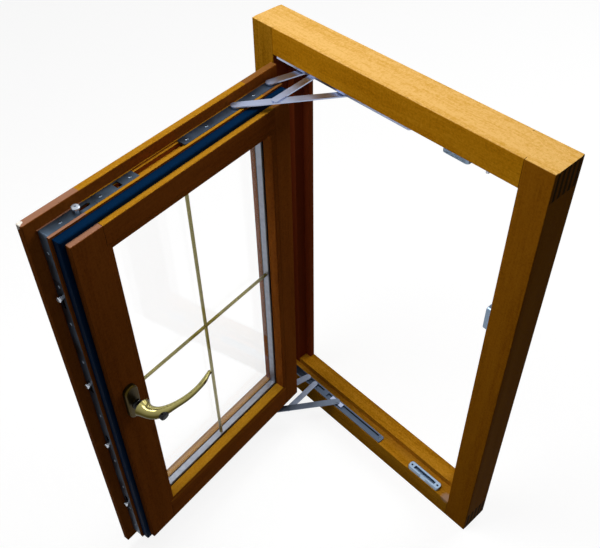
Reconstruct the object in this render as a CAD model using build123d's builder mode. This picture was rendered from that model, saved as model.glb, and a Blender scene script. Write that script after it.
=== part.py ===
from build123d import *
import math
import os

os.makedirs("parts", exist_ok=True)

# A side-hung timber casement window, its sash standing open towards the outside.
# Origin at the middle of the frame's underside: +X to the lock jamb, -Y outside, +Z up.

# Fixed frame
frame_width = 615.0
frame_height = 952.0
frame_depth = 68.0
face_width = 51.0
rebate_depth = 33.0
stop_step = 15.5
rib_step = 15.0
rib_depth = 13.0
timber_edge = 1.5
finger_count = 5

# Sash, measured from the outer edge of its lip
air_gap = 12.0
lip_cover = 7.0
lip_overlap = lip_cover + air_gap
lip_thickness = 13.0
core_depth = 27.0
inner_depth = 25.0
inner_step = 12.0
wide_member = 98.0
narrow_member = 79.0
outer_bevel = 10.0
bevel_angle = 45.0

# Open position of the sash
swing = 81.7
hinge_edge_inset = 24.4
hinge_edge_forward = 25.3

# Sealed double glazing, beads and bars
glass_front = 20.0
pane = 4.0
pane_space = 16.0
glass_rebate = 14.0
glass_clearance = 3.0
bead_width = 9.0
bead_setback = 0.5
bead_ovolo = 2.5
spacer_height = 11.0
spacer_setback = 2.0
bar_width = 5.5
bar_depth = 5.5
bar_round = 1.5

# Weather seal in the sash step
seal_width = 8.3
seal_depth = 14.5
seal_round = 3.5

# Hardware groove and faceplates
groove_centre = 25.0
plate_width = 20.0
plate_thickness = 2.5
groove_width = 12.0
groove_depth = 10.0
plate_fit = 0.3
drive_length = 90.0
drive_bend = 3.0
extension_length = 80.0
slot_width = 7.0
slot_length = 20.0
window_width = 13.0
window_length = 10.0
window_distance = 45.0
cam_radius = 6.5
cam_stem = 3.2
cam_height = 9.5
cam_cap = 3.5
cam_edge = 1.0
cam_socket = 2.0
cam_socket_sides = 6
cam_socket_depth = 2.5
corner_cam_reach = 79.0
outer_cam_distance = 142.0
inner_cam_distance = 346.0
stile_cam_radius = 5.0
stile_cam_height = 7.5

# Friction stays, set out from the hinge jamb and the sash's hinge edge; heights run towards the sash
track_length = 306.0
track_start = 6.0
track_width = 18.0
track_centre = 10.5
track_wall = 0.9
track_height = 4.4
track_mouth = 11.0
track_cap = 12.0
track_round = 4.0
running_fit = 0.2
slider_length = 36.0
stop_block_length = 14.0
stop_block_centre = 129.0
slider_pivot = 168.0
short_pivot = 68.0
link_pivot = 93.0
arm_width = 15.0
link_width = 13.0
arm_thickness = 2.2
layer_fit = 0.2
sash_bar_thickness = 3.0
sash_bar_near = 22.0
sash_bar_far = 243.0
sash_bar_round = 3.0
long_arm_distance = 120.0
short_arm_distance = 33.0
link_share = 0.364
rivet_radius = 4.0
rivet_head = 0.6

# Keeps on the frame
keep_width = 18.0
keep_height = 9.0
keep_floor = 2.0
keep_roof = 2.0
keep_channel = 14.0
keep_mouth = 8.0
keep_end = 14.0
keep_entry = 16.0
keep_edge = 1.0
keep_round = 6.0
keep_hole_radius = 2.4
keep_hole_depth = 6.0
sill_keep_length = 85.0
sill_keep_distance = 31.0
head_keep_length = 50.0
head_keep_distance = 87.0
jamb_keep_length = 50.0
jamb_keep_bottom = 600.0
stud_radius = 2.0
stud_head = 2.8
stud_height = 10.0
stud_distance = 58.0

# Handle on the closing stile, turned to its open position
handle_side = 61.0
handle_height = 465.0
base_length = 78.0
base_width = 27.0
base_thickness = 9.0
base_round = 3.0
boss_radius = 5.5
boss_height = 10.0
collar_radius = 10.0
collar_height = 8.0
collar_round = 2.0
lever_reach = 127.0
bell_round = 0.8
tip_round = 2.0
lock_side = 11.0
lock_seat = 37.0
lock_length = 17.0
lock_width = 13.0
lock_height = 8.0
lock_round = 2.5
lock_fit = 0.2

# Sections of the lever, from the bell's mouth to the tip, a little further apart each time: across from
# the collar's axis, out from the collar and radius as shares of the reach, and between them the lean in degrees
lever_sections = (
    (0.0, 0.0, 0.0, 0.13), (0.001, 0.063, 3.0, 0.107), (0.01, 0.126, 15.0, 0.094), (0.037, 0.184, 33.0, 0.088),
    (0.085, 0.235, 53.0, 0.079), (0.162, 0.274, 68.0, 0.065), (0.268, 0.307, 75.0, 0.051),
    (0.398, 0.338, 80.0, 0.045), (0.546, 0.357, 87.0, 0.042), (0.704, 0.354, 95.0, 0.039),
    (0.854, 0.329, 102.0, 0.037), (1.0, 0.291, 107.0, 0.034),
)

# Places worked out from the sizes above
half_width = frame_width / 2
half_depth = frame_depth / 2
stop_width = face_width + stop_step
jamb_width = stop_width + rib_step
finger = frame_depth / (2 * finger_count + 1)
opening_width = frame_width - 2 * face_width
opening_height = frame_height - 2 * face_width
sash_width = opening_width + 2 * lip_cover
sash_height = opening_height + 2 * lip_cover
core_back = lip_thickness + core_depth
sash_thickness = core_back + inner_depth
inner_inset = lip_overlap + inner_step
glass_back = glass_front + 2 * pane + pane_space
left_edge = wide_member
right_edge = sash_width - narrow_member
bottom_edge = wide_member
top_edge = sash_height - narrow_member
turn = math.radians(90 - swing)
hinge_x = face_width + hinge_edge_inset - half_width
hinge_y = -half_depth - hinge_edge_forward
sash = Plane(
    origin=(hinge_x + sash_width * math.sin(turn), hinge_y - sash_width * math.cos(turn), face_width - lip_cover),
    x_dir=(-math.sin(turn), math.cos(turn), 0),
    z_dir=(math.cos(turn), math.sin(turn), 0),
)
along, up, inward = sash.x_dir, sash.y_dir, sash.z_dir


def place(side, height, depth):
    """A point of the sash: across from the closing edge, up from the bottom, in from the outside face."""
    return sash.from_local_coords((side, height, depth))


# Section of every frame member: inward distance across, depth from the outside face up
with BuildSketch() as frame_section:
    with BuildLine():
        Polyline(
            (0, 0), (face_width, 0), (face_width, rebate_depth), (stop_width, rebate_depth),
            (stop_width, frame_depth), (0, frame_depth), close=True,
        )
    make_face()
    fillet(frame_section.vertices().group_by(Axis.Y)[0], timber_edge)
    fillet(frame_section.vertices().group_by(Axis.Y)[-1], timber_edge)

# The jambs have one more step at the back, a narrow rib beside the opening
with BuildSketch() as jamb_section:
    add(frame_section.sketch)
    with Locations((jamb_width - (rib_step + timber_edge) / 2, frame_depth - rib_depth / 2)):
        Rectangle(rib_step + timber_edge, rib_depth)
    fillet(jamb_section.vertices().group_by(Axis.X)[-1], timber_edge)

# The comb joint's open fingers, seen on the end of a head or sill
with BuildSketch() as top_fingers:
    with Locations((0, frame_height - face_width / 2)), GridLocations(2 * finger, 0, finger_count, 1):
        Rectangle(finger, face_width)
with BuildSketch() as bottom_fingers:
    with Locations((0, face_width / 2)), GridLocations(2 * finger, 0, finger_count, 1):
        Rectangle(finger, face_width)

# The stops and ribs of both jambs, seen from above
with BuildSketch() as jamb_stops:
    with Locations(
        (face_width + stop_step / 2 - half_width, rebate_depth / 2),
        (half_width - face_width - stop_step / 2, rebate_depth / 2),
    ):
        Rectangle(stop_step, frame_depth - rebate_depth)
    with Locations(
        (stop_width + rib_step / 2 - half_width, half_depth - rib_depth / 2),
        (half_width - stop_width - rib_step / 2, half_depth - rib_depth / 2),
    ):
        Rectangle(rib_step, rib_depth)

# Jambs run the full height and are slotted for the fingers of head and sill
with BuildPart() as frame_hinge_jamb:
    with BuildSketch(Plane(origin=(-half_width, -half_depth, 0), x_dir=(1, 0, 0), z_dir=(0, 0, 1))):
        add(jamb_section.sketch)
    extrude(amount=frame_height)
    with BuildSketch(Plane.YZ.offset(-half_width)):
        add(top_fingers.sketch)
        add(bottom_fingers.sketch)
    extrude(amount=jamb_width, mode=Mode.SUBTRACT)
    arrises = frame_hinge_jamb.edges().filter_by(Axis.X)
    end_arrises = arrises.group_by(Axis.Z)[0] + arrises.group_by(Axis.Z)[-1]
    fillet(end_arrises.group_by(Axis.Y)[0] + end_arrises.group_by(Axis.Y)[-1], timber_edge)
frame_hinge_jamb.part.label = "frame_hinge_jamb"
export_step(frame_hinge_jamb.part, "parts/frame_hinge_jamb.step")

with BuildPart() as frame_lock_jamb:
    with BuildSketch(Plane(origin=(half_width, -half_depth, frame_height), x_dir=(-1, 0, 0), z_dir=(0, 0, -1))):
        add(jamb_section.sketch)
    extrude(amount=frame_height)
    with BuildSketch(Plane.YZ.offset(half_width - jamb_width)):
        add(top_fingers.sketch)
        add(bottom_fingers.sketch)
    extrude(amount=jamb_width, mode=Mode.SUBTRACT)
    arrises = frame_lock_jamb.edges().filter_by(Axis.X)
    end_arrises = arrises.group_by(Axis.Z)[0] + arrises.group_by(Axis.Z)[-1]
    fillet(end_arrises.group_by(Axis.Y)[0] + end_arrises.group_by(Axis.Y)[-1], timber_edge)
frame_lock_jamb.part.label = "frame_lock_jamb"
export_step(frame_lock_jamb.part, "parts/frame_lock_jamb.step")

# Head and sill butt between the jambs, scribed round their stops, and carry the fingers
with BuildPart() as frame_head:
    head_start = (face_width - half_width, -half_depth, frame_height)
    with BuildSketch(Plane(origin=head_start, x_dir=(0, 0, -1), z_dir=(1, 0, 0))):
        add(frame_section.sketch)
    extrude(amount=opening_width)
    with BuildSketch(Plane.XY.offset(frame_height - stop_width)):
        add(jamb_stops.sketch)
    extrude(amount=stop_width, mode=Mode.SUBTRACT)
    with BuildSketch(Plane.YZ.offset(-half_width), Plane.YZ.offset(half_width - jamb_width)):
        add(top_fingers.sketch)
    extrude(amount=jamb_width)
frame_head.part.label = "frame_head"
export_step(frame_head.part, "parts/frame_head.step")

with BuildPart() as frame_sill:
    sill_start = (half_width - face_width, -half_depth, 0)
    with BuildSketch(Plane(origin=sill_start, x_dir=(0, 0, 1), z_dir=(-1, 0, 0))):
        add(frame_section.sketch)
    extrude(amount=opening_width)
    with BuildSketch(Plane.XY):
        add(jamb_stops.sketch)
    extrude(amount=stop_width, mode=Mode.SUBTRACT)
    with BuildSketch(Plane.YZ.offset(-half_width), Plane.YZ.offset(half_width - jamb_width)):
        add(bottom_fingers.sketch)
    extrude(amount=jamb_width)
frame_sill.part.label = "frame_sill"
export_step(frame_sill.part, "parts/frame_sill.step")


def sash_section(width):
    """Moulding of a sash member: depth from the outside face across, inward distance up."""
    groove_low = groove_centre - groove_width / 2
    groove_high = groove_centre + groove_width / 2
    plate_low = groove_centre - plate_width / 2
    plate_high = groove_centre + plate_width / 2
    seat = lip_overlap + plate_thickness
    floor = lip_overlap + groove_depth
    with BuildSketch() as section:
        with BuildLine():
            Polyline(
                (0, 0), (lip_thickness, 0), (lip_thickness, lip_overlap), (plate_low, lip_overlap),
                (plate_low, seat), (groove_low, seat), (groove_low, floor), (groove_high, floor),
                (groove_high, seat), (plate_high, seat), (plate_high, lip_overlap),
                (core_back, lip_overlap), (core_back, inner_inset), (sash_thickness, inner_inset),
                (sash_thickness, width - bead_width), (glass_back, width - bead_width),
                (glass_back, width - glass_rebate), (glass_front, width - glass_rebate),
                (glass_front, width), (0, width), close=True,
            )
        make_face()
        fillet(section.vertices().group_by(Axis.Y)[0], timber_edge)
        fillet(section.vertices().group_by(Axis.X)[-1], timber_edge)
    return section.sketch


def rail_tongues(width):
    """The stub tenon and the scribed back of a rail, which fill the stile's rebates."""
    tongues = []
    for low, high in ((glass_front, glass_back), (glass_back, sash_thickness)):
        with BuildSketch() as tongue:
            add(sash_section(width))
            with Locations(((low + high) / 2, width / 2)):
                Rectangle(high - low, width, mode=Mode.INTERSECT)
        tongues.append(tongue.sketch)
    return tongues


# Steps of the sash edge at the ends of a stile: height across, depth up
with BuildSketch() as end_steps:
    for low, high in ((0, lip_overlap), (sash_height - lip_overlap, sash_height)):
        with Locations(((low + high) / 2, (lip_thickness + sash_thickness) / 2)):
            Rectangle(high - low, sash_thickness - lip_thickness)
    for low, high in ((0, inner_inset), (sash_height - inner_inset, sash_height)):
        with Locations(((low + high) / 2, (core_back + sash_thickness) / 2)):
            Rectangle(high - low, sash_thickness - core_back)

# The hardware groove across the ends of a stile, height across, depth up
with BuildSketch() as end_grooves:
    for deep, wide in ((plate_thickness, plate_width), (groove_depth, groove_width)):
        for centre in (lip_overlap + deep / 2, sash_height - lip_overlap - deep / 2):
            with Locations((centre, groove_centre)):
                Rectangle(deep, wide)

side_plane = Plane(origin=place(0, 0, 0), x_dir=up, z_dir=along)

# The bevel round the outside of the glass, a shallow pyramid cut out of all four members
daylight_width = right_edge - left_edge
daylight_height = top_edge - bottom_edge
daylight_middle = ((left_edge + right_edge) / 2, (bottom_edge + top_edge) / 2)

with BuildPart() as bevel_cut:
    with BuildSketch(sash):
        with Locations(daylight_middle):
            Rectangle(daylight_width + 2 * outer_bevel, daylight_height + 2 * outer_bevel)
    extrude(amount=outer_bevel, taper=bevel_angle)

with BuildPart() as sash_closing_stile:
    with BuildSketch(Plane(origin=place(0, 0, 0), x_dir=inward, z_dir=up)):
        add(sash_section(wide_member))
    extrude(amount=sash_height)
    with BuildSketch(side_plane):
        add(end_steps.sketch)
        add(end_grooves.sketch)
    extrude(amount=wide_member, mode=Mode.SUBTRACT)
    add(bevel_cut.part, mode=Mode.SUBTRACT)
    arrises = sash_closing_stile.edges().filter_by(Axis(sash.origin, along))
    lip_arrises = arrises.group_by(Axis.Z)[0] + arrises.group_by(Axis.Z)[-1]
    fillet(lip_arrises + arrises.group_by(Axis(sash.origin, inward))[-1], timber_edge)
sash_closing_stile.part.label = "sash_closing_stile"
export_step(sash_closing_stile.part, "parts/sash_closing_stile.step")

with BuildPart() as sash_hinge_stile:
    with BuildSketch(Plane(origin=place(sash_width, sash_height, 0), x_dir=inward, z_dir=-up)):
        add(sash_section(narrow_member))
    extrude(amount=sash_height)
    with BuildSketch(side_plane.offset(sash_width - narrow_member)):
        add(end_steps.sketch)
        add(end_grooves.sketch)
    extrude(amount=narrow_member, mode=Mode.SUBTRACT)
    add(bevel_cut.part, mode=Mode.SUBTRACT)
    arrises = sash_hinge_stile.edges().filter_by(Axis(sash.origin, along))
    lip_arrises = arrises.group_by(Axis.Z)[0] + arrises.group_by(Axis.Z)[-1]
    fillet(lip_arrises + arrises.group_by(Axis(sash.origin, inward))[-1], timber_edge)
sash_hinge_stile.part.label = "sash_hinge_stile"
export_step(sash_hinge_stile.part, "parts/sash_hinge_stile.step")

# Rails stand between the stiles
rail_length = right_edge - left_edge
tenon_length = rail_length + 2 * glass_rebate
scribe_length = rail_length + 2 * bead_width

with BuildPart() as sash_top_rail:
    rail_tenon, rail_scribe = rail_tongues(narrow_member)
    with BuildSketch(Plane(origin=place(left_edge, sash_height, 0), x_dir=inward, z_dir=along)):
        add(sash_section(narrow_member))
    extrude(amount=rail_length)
    with BuildSketch(Plane(origin=place(left_edge - glass_rebate, sash_height, 0), x_dir=inward, z_dir=along)):
        add(rail_tenon)
    extrude(amount=tenon_length)
    with BuildSketch(Plane(origin=place(left_edge - bead_width, sash_height, 0), x_dir=inward, z_dir=along)):
        add(rail_scribe)
    extrude(amount=scribe_length)
    add(bevel_cut.part, mode=Mode.SUBTRACT)
sash_top_rail.part.label = "sash_top_rail"
export_step(sash_top_rail.part, "parts/sash_top_rail.step")

with BuildPart() as sash_bottom_rail:
    rail_tenon, rail_scribe = rail_tongues(wide_member)
    with BuildSketch(Plane(origin=place(right_edge, 0, 0), x_dir=inward, z_dir=-along)):
        add(sash_section(wide_member))
    extrude(amount=rail_length)
    with BuildSketch(Plane(origin=place(right_edge + glass_rebate, 0, 0), x_dir=inward, z_dir=-along)):
        add(rail_tenon)
    extrude(amount=tenon_length)
    with BuildSketch(Plane(origin=place(right_edge + bead_width, 0, 0), x_dir=inward, z_dir=-along)):
        add(rail_scribe)
    extrude(amount=scribe_length)
    add(bevel_cut.part, mode=Mode.SUBTRACT)
sash_bottom_rail.part.label = "sash_bottom_rail"
export_step(sash_bottom_rail.part, "parts/sash_bottom_rail.step")

# Mitred glazing beads with a rounded inner edge, set a little back from the inner face
bead_height = sash_thickness - bead_setback - glass_back
inner_corners = ((left_edge, bottom_edge), (right_edge, bottom_edge), (right_edge, top_edge), (left_edge, top_edge))
corner_signs = ((-1, -1), (1, -1), (1, 1), (-1, 1))
outer_corners = [(u + a * bead_width, v + b * bead_width) for (u, v), (a, b) in zip(inner_corners, corner_signs)]
bead_sides = (
    ("bottom_glazing_bead", up), ("hinge_glazing_bead", -along), ("top_glazing_bead", -up),
    ("closing_glazing_bead", along),
)
for corner, (name, towards) in enumerate(bead_sides):
    following = (corner + 1) % len(bead_sides)
    outline = (outer_corners[corner], outer_corners[following], inner_corners[following], inner_corners[corner])
    with BuildPart() as bead:
        with BuildSketch(sash.offset(glass_back)):
            Polygon(*outline, align=None)
        extrude(amount=bead_height)
        fillet(bead.edges().sort_by(Axis(sash.origin, inward + towards))[-1], bead_ovolo)
    bead.part.label = name
    export_step(bead.part, f"parts/{name}.step")

# Weather seal, one ring in the corner of the sash step
with BuildPart() as sash_seal:
    with BuildSketch(sash.offset(core_back)):
        with Locations((sash_width / 2, sash_height / 2)):
            seal_rim = inner_inset - seal_width
            Rectangle(sash_width - 2 * seal_rim, sash_height - 2 * seal_rim)
            Rectangle(sash_width - 2 * inner_inset, sash_height - 2 * inner_inset, mode=Mode.SUBTRACT)
    extrude(amount=seal_depth)
    seal_face = sash_seal.faces().sort_by(Axis(sash.origin, inward))[-1]
    fillet(seal_face.outer_wire().edges(), seal_round)
sash_seal.part.label = "sash_seal"
export_step(sash_seal.part, "parts/sash_seal.step")

# Two panes, the spacer between them and the crossed bars in the space
glass_cover = glass_rebate - glass_clearance
space_front = glass_front + pane
space_middle = space_front + pane_space / 2

for name, depth in (("outer_pane", glass_front), ("inner_pane", glass_back - pane)):
    with BuildPart() as glass_pane:
        with BuildSketch(sash.offset(depth)):
            with Locations(daylight_middle):
                Rectangle(daylight_width + 2 * glass_cover, daylight_height + 2 * glass_cover)
        extrude(amount=pane)
    glass_pane.part.label = name
    export_step(glass_pane.part, f"parts/{name}.step")

spacer_outer = glass_cover - spacer_setback
spacer_inner = spacer_outer - spacer_height
with BuildPart() as pane_spacer:
    with BuildSketch(sash.offset(space_front)):
        with Locations(daylight_middle):
            Rectangle(daylight_width + 2 * spacer_outer, daylight_height + 2 * spacer_outer)
            Rectangle(daylight_width + 2 * spacer_inner, daylight_height + 2 * spacer_inner, mode=Mode.SUBTRACT)
    extrude(amount=pane_space)
pane_spacer.part.label = "pane_spacer"
export_step(pane_spacer.part, "parts/pane_spacer.step")

# The bars are halved over each other where they cross
bar_sizes = {
    "vertical_glazing_bar": (bar_width, daylight_height + 2 * spacer_inner, space_middle),
    "horizontal_glazing_bar": (daylight_width + 2 * spacer_inner, bar_width, space_middle - bar_depth / 2),
}
for name, (wide, tall, notch_depth) in bar_sizes.items():
    with BuildPart() as bar:
        with BuildSketch(sash.offset(space_middle - bar_depth / 2)):
            with Locations(daylight_middle):
                Rectangle(wide, tall)
        extrude(amount=bar_depth)
        fillet(bar.edges().group_by(SortBy.LENGTH)[-1], bar_round)
        with BuildSketch(sash.offset(notch_depth)):
            with Locations(daylight_middle):
                Rectangle(bar_width, bar_width)
        extrude(amount=bar_depth / 2, mode=Mode.SUBTRACT)
    bar.part.label = name
    export_step(bar.part, f"parts/{name}.step")

# Faceplates lie flush in the hardware groove of the sash edge
plate_body = plate_width - 2 * plate_fit
plate_front = groove_centre - plate_body / 2
top_seat = sash_height - lip_overlap
corner_end = lip_overlap + drive_length
stile_seat = Plane(origin=place(lip_overlap, 0, groove_centre), x_dir=up, z_dir=-along)
cam_heights = (
    outer_cam_distance, inner_cam_distance, sash_height - inner_cam_distance, sash_height - outer_cam_distance,
)
slot_reach = cam_stem + plate_fit + slot_length / 2

# Each cam stands at the end of the slot that it slides along
with BuildPart() as espag_faceplate:
    with BuildSketch(sash.offset(plate_front)):
        with Locations((lip_overlap + plate_thickness / 2, sash_height / 2)):
            Rectangle(plate_thickness, sash_height - 2 * corner_end - 2 * plate_fit)
    extrude(amount=plate_body)
    with BuildSketch(stile_seat):
        with Locations(*[(h + math.copysign(slot_reach, sash_height / 2 - h), 0) for h in cam_heights]):
            SlotOverall(slot_length, slot_width)
    extrude(amount=-plate_thickness, mode=Mode.SUBTRACT)
espag_faceplate.part.label = "espag_faceplate"
export_step(espag_faceplate.part, "parts/espag_faceplate.step")

for side, seat, inside in (("top", top_seat, -1), ("bottom", lip_overlap, 1)):
    cam_seat = Plane(origin=place(corner_cam_reach, seat, groove_centre), x_dir=along, z_dir=up * -inside)

    with BuildPart() as corner_drive:
        with BuildSketch(sash.offset(plate_front)):
            with BuildLine():
                Polyline(
                    (lip_overlap, seat), (corner_end, seat), (corner_end, seat + inside * plate_thickness),
                    (lip_overlap + plate_thickness, seat + inside * plate_thickness),
                    (lip_overlap + plate_thickness, seat + inside * drive_length),
                    (lip_overlap, seat + inside * drive_length), close=True,
                )
            make_face()
        extrude(amount=plate_body)
        outer_corner = Axis(sash.origin, along + up * inside)
        fillet(corner_drive.edges().filter_by(Axis(sash.origin, inward)).sort_by(outer_corner)[0], drive_bend)
        with BuildSketch(cam_seat):
            with Locations((slot_reach, 0)):
                SlotOverall(slot_length, slot_width)
        extrude(amount=-plate_thickness, mode=Mode.SUBTRACT)
    corner_drive.part.label = f"{side}_corner_drive"
    export_step(corner_drive.part, f"parts/{side}_corner_drive.step")

    with BuildPart() as extension_plate:
        with BuildSketch(sash.offset(plate_front)):
            with Locations((corner_end + plate_fit + extension_length / 2, seat + inside * plate_thickness / 2)):
                Rectangle(extension_length, plate_thickness)
        extrude(amount=plate_body)
        with BuildSketch(cam_seat):
            with Locations((corner_end + plate_fit + window_distance - corner_cam_reach, 0)):
                Rectangle(window_length, window_width)
        extrude(amount=-plate_thickness, mode=Mode.SUBTRACT)
    extension_plate.part.label = f"{side}_extension_plate"
    export_step(extension_plate.part, f"parts/{side}_extension_plate.step")

    with BuildPart() as corner_cam:
        with BuildSketch(cam_seat):
            Circle(cam_stem)
        extrude(amount=cam_height)
        with BuildSketch(cam_seat.offset(cam_height - cam_cap)):
            Circle(cam_radius)
        extrude(amount=cam_cap)
        outwards = Axis(cam_seat.origin, cam_seat.z_dir)
        chamfer(corner_cam.edges().filter_by(GeomType.CIRCLE).sort_by(outwards)[-1], cam_edge)
        with BuildSketch(cam_seat.offset(cam_height)):
            RegularPolygon(cam_socket, cam_socket_sides)
        extrude(amount=-cam_socket_depth, mode=Mode.SUBTRACT)
    corner_cam.part.label = f"{side}_corner_cam"
    export_step(corner_cam.part, f"parts/{side}_corner_cam.step")

with BuildPart() as stile_cams:
    with BuildSketch(stile_seat):
        with Locations(*[(h, 0) for h in cam_heights]):
            Circle(cam_stem)
    extrude(amount=stile_cam_height)
    with BuildSketch(stile_seat.offset(stile_cam_height - cam_cap)):
        with Locations(*[(h, 0) for h in cam_heights]):
            Circle(stile_cam_radius)
    extrude(amount=cam_cap)
    cam_rims = stile_cams.edges().filter_by(GeomType.CIRCLE).group_by(Axis(sash.origin, along))[0]
    chamfer(cam_rims, cam_edge)
stile_cams.part.label = "stile_cams"
export_step(stile_cams.part, "parts/stile_cams.step")

# Friction stays: a track and slider on the frame, a bar in the sash groove and three arms between
jamb_x = face_width - half_width
track_y = track_centre - half_depth
track_middle = jamb_x + track_start + track_length / 2
slider_at = (jamb_x + slider_pivot, track_y)
link_at = (jamb_x + link_pivot, track_y)
short_at = (jamb_x + short_pivot, track_y)
long_point = place(sash_width - long_arm_distance, 0, groove_centre)
short_point = place(sash_width - short_arm_distance, 0, groove_centre)
long_seat = (long_point.X, long_point.Y)
short_seat = (short_point.X, short_point.Y)
link_seat = (
    long_seat[0] + link_share * (slider_at[0] - long_seat[0]),
    long_seat[1] + link_share * (slider_at[1] - long_seat[1]),
)
sash_bar_face = air_gap + plate_thickness - sash_bar_thickness
link_level = track_height + layer_fit
long_level = link_level + arm_thickness + layer_fit
long_top = long_level + arm_thickness


def arm_outline(start, end, width):
    """A flat arm with round ends over two pivots."""
    run = (end[0] - start[0], end[1] - start[1])
    with Locations(((start[0] + end[0]) / 2, (start[1] + end[1]) / 2)):
        SlotCenterToCenter(math.hypot(*run), width, rotation=math.degrees(math.atan2(run[1], run[0])))


for side, seat, out in (("bottom", face_width, 1), ("top", frame_height - face_width, -1)):
    with BuildPart() as stay_track:
        with BuildSketch(Plane.XY.offset(seat)):
            with Locations((track_middle, track_y)):
                RectangleRounded(track_length, track_width, track_round)
        extrude(amount=out * track_height)
        with BuildSketch(Plane.XY.offset(seat + out * track_wall)):
            with Locations((track_middle, track_y)):
                Rectangle(track_length - 2 * track_cap, track_width - 2 * track_wall)
        extrude(amount=out * (track_height - 2 * track_wall), mode=Mode.SUBTRACT)
        with BuildSketch(Plane.XY.offset(seat + out * track_wall)):
            with Locations((track_middle, track_y)):
                Rectangle(track_length - 2 * track_cap, track_mouth)
        extrude(amount=out * track_height, mode=Mode.SUBTRACT)
        with BuildSketch(Plane.XY.offset(seat + out * track_wall)):
            with Locations((jamb_x + stop_block_centre, track_y)):
                Rectangle(stop_block_length, track_width - 2 * track_wall)
        extrude(amount=out * (track_height - track_wall))
    stay_track.part.label = f"{side}_stay_track"
    export_step(stay_track.part, f"parts/{side}_stay_track.step")

    with BuildPart() as stay_slider:
        with BuildSketch(Plane.XY.offset(seat + out * (track_wall + running_fit))):
            with Locations(slider_at):
                Rectangle(slider_length, track_width - 2 * track_wall - 2 * running_fit)
        extrude(amount=out * (track_height - 2 * track_wall - 2 * running_fit))
        with BuildSketch(Plane.XY.offset(seat + out * (track_wall + running_fit))):
            with Locations(slider_at):
                Rectangle(slider_length, track_mouth - 2 * running_fit)
        extrude(amount=out * (long_level - track_wall - 2 * running_fit))
    stay_slider.part.label = f"{side}_stay_slider"
    export_step(stay_slider.part, f"parts/{side}_stay_slider.step")

    with BuildPart() as stay_long_arm:
        with BuildSketch(Plane.XY.offset(seat + out * long_level)):
            arm_outline(long_seat, slider_at, arm_width)
        extrude(amount=out * arm_thickness)
        with BuildSketch(Plane.XY.offset(seat + out * long_top)):
            with Locations(slider_at, link_seat):
                Circle(rivet_radius)
        extrude(amount=out * rivet_head)
    stay_long_arm.part.label = f"{side}_stay_long_arm"
    export_step(stay_long_arm.part, f"parts/{side}_stay_long_arm.step")

    with BuildPart() as stay_link_arm:
        with BuildSketch(Plane.XY.offset(seat + out * link_level)):
            arm_outline(link_seat, link_at, link_width)
        extrude(amount=out * arm_thickness)
        with BuildSketch(Plane.XY.offset(seat + out * track_wall)):
            with Locations(link_at):
                Circle(rivet_radius)
        extrude(amount=out * (link_level + arm_thickness + rivet_head - track_wall))
    stay_link_arm.part.label = f"{side}_stay_link_arm"
    export_step(stay_link_arm.part, f"parts/{side}_stay_link_arm.step")

    with BuildPart() as stay_short_arm:
        with BuildSketch(Plane.XY.offset(seat + out * long_level)):
            arm_outline(short_seat, short_at, arm_width)
        extrude(amount=out * arm_thickness)
        with BuildSketch(Plane.XY.offset(seat + out * track_wall)):
            with Locations(short_at):
                Circle(rivet_radius)
        extrude(amount=out * (long_top + rivet_head - track_wall))
    stay_short_arm.part.label = f"{side}_stay_short_arm"
    export_step(stay_short_arm.part, f"parts/{side}_stay_short_arm.step")

    with BuildPart() as stay_sash_bar:
        bar_plane = Plane(origin=place(0, 0, groove_centre), x_dir=along, z_dir=up)
        bar_height = seat + out * sash_bar_face - sash.origin.Z
        with BuildSketch(bar_plane.offset(bar_height)):
            with Locations((sash_width - (sash_bar_near + sash_bar_far) / 2, 0)):
                RectangleRounded(sash_bar_far - sash_bar_near, plate_body, sash_bar_round)
        extrude(amount=out * sash_bar_thickness)
        with BuildSketch(Plane.XY.offset(seat + out * (long_top + layer_fit))):
            with Locations(long_seat, short_seat):
                Circle(arm_width / 2)
        extrude(amount=out * (sash_bar_face - long_top - layer_fit))
    stay_sash_bar.part.label = f"{side}_stay_sash_bar"
    export_step(stay_sash_bar.part, f"parts/{side}_stay_sash_bar.step")

# Keeps: undercut blocks for the cams' heads, which enter the sill keep through a gap in its outside wall
lock_x = half_width - face_width
keep_places = {
    "sill_keep": (
        Plane(
            origin=(lock_x - sill_keep_distance - sill_keep_length / 2, track_y, face_width),
            x_dir=(1, 0, 0), z_dir=(0, 0, 1),
        ),
        sill_keep_length,
    ),
    "head_keep": (
        Plane(
            origin=(lock_x - head_keep_distance - head_keep_length / 2, track_y, frame_height - face_width),
            x_dir=(-1, 0, 0), z_dir=(0, 0, -1),
        ),
        head_keep_length,
    ),
    "jamb_keep": (
        Plane(
            origin=(lock_x, track_y, jamb_keep_bottom + jamb_keep_length / 2),
            x_dir=(0, 0, 1), z_dir=(-1, 0, 0),
        ),
        jamb_keep_length,
    ),
}
for name, (plane, length) in keep_places.items():
    channel_length = length - 2 * keep_end
    with BuildPart() as keep:
        with BuildSketch(plane):
            RectangleRounded(length, keep_width, keep_round)
        extrude(amount=keep_height)
        chamfer(keep.faces().sort_by(Axis(plane.origin, plane.z_dir))[-1].edges(), keep_edge)
        with BuildSketch(plane.offset(keep_height)):
            with GridLocations(length - keep_end, 0, 2, 1):
                Circle(keep_hole_radius)
        extrude(amount=-keep_hole_depth, mode=Mode.SUBTRACT)
        with BuildSketch(plane.offset(keep_floor)):
            Rectangle(channel_length, keep_channel)
        extrude(amount=keep_height - keep_floor - keep_roof, mode=Mode.SUBTRACT)
        with BuildSketch(plane.offset(keep_floor)):
            Rectangle(channel_length, keep_mouth)
            if name == "sill_keep":
                Rectangle(keep_entry, keep_width, align=(Align.CENTER, Align.MAX))
        extrude(amount=keep_height, mode=Mode.SUBTRACT)
    keep.part.label = name
    export_step(keep.part, f"parts/{name}.step")

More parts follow.
